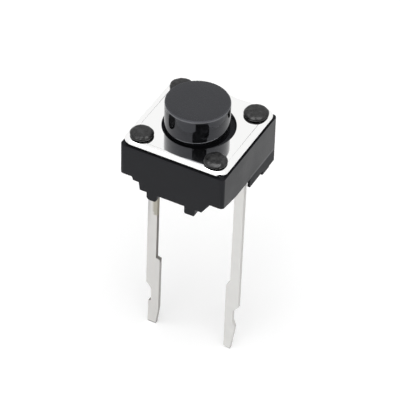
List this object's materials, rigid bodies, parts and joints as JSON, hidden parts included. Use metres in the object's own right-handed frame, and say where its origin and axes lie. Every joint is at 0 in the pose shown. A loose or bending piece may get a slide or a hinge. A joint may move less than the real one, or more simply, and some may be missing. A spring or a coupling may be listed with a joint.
{
  "type": "tactile push button switch",
  "caption": "Square through-hole tactile switch with a round black button, a bright cover held by four staked posts, and two long barbed leads.",
  "frame": {"origin": "centre of the plane where the switch's feet meet the circuit board", "axes": "+Z runs out of the board along the button's axis, X runs from one lead to the other, and -Y is the plain front side"},
  "size_m": [0.006, 0.006, 0.0165],
  "materials": {
    "housing_plastic": "fine moulded satin, black",
    "cover_metal": "bright tin plate, mirror-like",
    "button_plastic": "polished side, satin top, black",
    "dome_steel": "rolled spring steel",
    "terminal_metal": "dull tin plate"
  },
  "bodies": {
    "switch_body": {"base_housing": "housing_plastic", "cover_plate": "cover_metal", "contact_dome": "dome_steel", "centre_terminal": "terminal_metal", "side_terminal": "terminal_metal"},
    "button": {"plunger": "button_plastic"}
  },
  "joints": [
    {"name": "button_press", "type": "slide", "parent": "switch_body", "child": "button", "axis": [0, 0, -1], "range_m": [0, 0.00025], "stiffness_N_per_m": 6000, "deforming": ["contact_dome"]}
  ]
}
